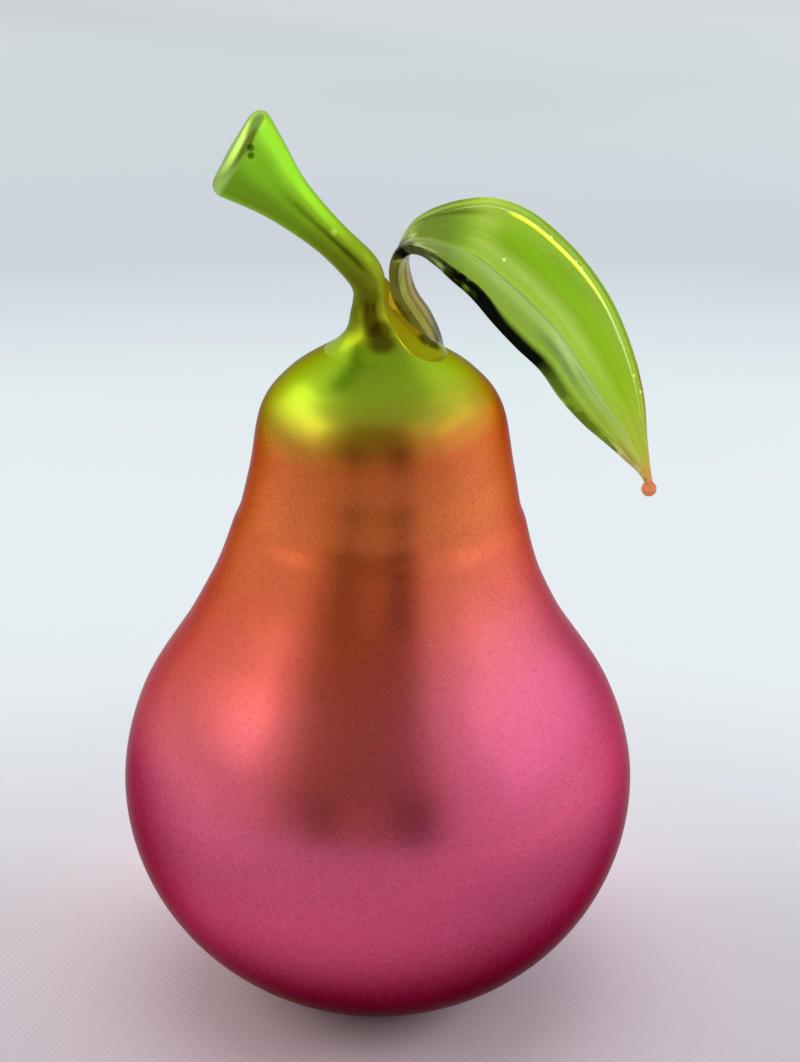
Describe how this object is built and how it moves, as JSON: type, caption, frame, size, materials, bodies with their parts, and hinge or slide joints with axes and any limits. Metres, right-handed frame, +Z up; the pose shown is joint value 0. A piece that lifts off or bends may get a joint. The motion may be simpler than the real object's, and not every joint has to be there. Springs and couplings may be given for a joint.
{
  "type": "blown glass pear ornament",
  "caption": "Pear-shaped hollow blown glass ornament, satin finish from green through orange to pink, with a bent glass stem and one arched clear green glass leaf.",
  "frame": {"origin": "centre of the small ground flat that the pear stands on", "axes": "+Z up along the pear's axis, +X towards the leaf's tip (the stem leans to -X), -Y is the front, where the leaf's root lies against the stem"},
  "size_m": [0.1125, 0.11, 0.1946],
  "materials": {
    "satin_body": "opaque satin lustre, shading from yellow-green at the shoulder through orange to magenta pink at the belly and dark red at the foot",
    "stem_glass": "satin lustre over green glass, amber towards the root",
    "leaf_glass": "clear polished green glass, amber at the root, coral at the tip"
  },
  "bodies": {
    "root": {"pear_body": "satin_body", "stem": "stem_glass", "leaf": "leaf_glass"}
  },
  "joints": []
}
